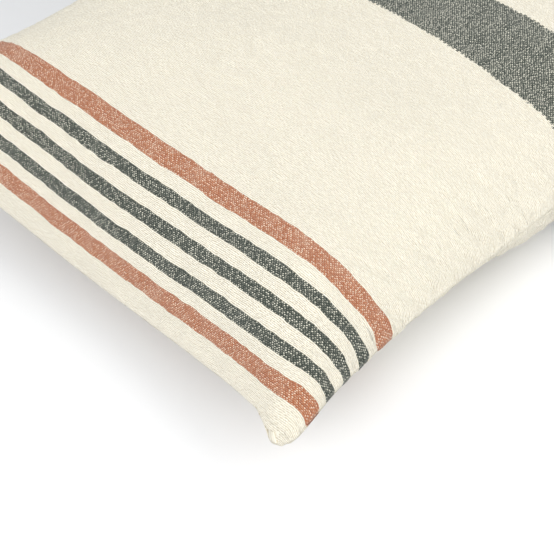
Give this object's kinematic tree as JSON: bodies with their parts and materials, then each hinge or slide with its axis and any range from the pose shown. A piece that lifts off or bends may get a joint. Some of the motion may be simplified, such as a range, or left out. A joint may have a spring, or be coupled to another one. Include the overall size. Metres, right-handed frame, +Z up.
{
  "type": "throw pillow",
  "caption": "Square throw pillow: a striped woven cover with a concealed zip in one edge seam, over a separate filled insert.",
  "frame": {"origin": "centre of the flat area of the back panel that the pillow lies on, at floor level", "axes": "+Z up through the pillow's thickness, front panel on top; +X along the stripes, towards the end where the zip closes; +Y across the stripes, towards the zip edge"},
  "size_m": [0.4782, 0.4775, 0.14],
  "materials": {
    "cover_cloth": "coarse basket weave, natural cream with terracotta and charcoal-green stripes",
    "sewing_thread": "cream spun polyester thread",
    "zip_tape": "woven cream tape",
    "zip_coil": "cream monofilament coil",
    "zip_metal": "cream enamel on die-cast metal",
    "ticking": "closely woven white cotton ticking",
    "filling": "loose white fibre",
    "label": "blank white satin tape"
  },
  "bodies": {
    "cover": {"front_panel": "cover_cloth", "back_panel": "cover_cloth", "cover_seam_thread": "sewing_thread", "zip_tape_front": "zip_tape", "zip_tape_back": "zip_tape", "zip_coil_front": "zip_coil", "zip_coil_back": "zip_coil", "zip_top_stops": "zip_metal", "zip_bottom_stop": "zip_metal", "zip_stitching": "sewing_thread", "insert_front_ticking": "ticking", "insert_back_ticking": "ticking", "insert_seam_thread": "sewing_thread", "insert_filling": "filling", "care_label": "label"},
    "slider": {"zip_slider": "zip_metal"},
    "pull": {"zip_pull_tab": "zip_metal"}
  },
  "joints": [
    {"name": "slider_slide", "type": "slide", "parent": "cover", "child": "slider", "axis": [-1, 0, 0], "range_m": [0, 0.336]},
    {"name": "pull_hinge", "type": "hinge", "parent": "slider", "child": "pull", "pos_m": [0.168, 0.2279, 0.07], "axis": [0, 0, -1], "range_deg": [0, 170]}
  ]
}
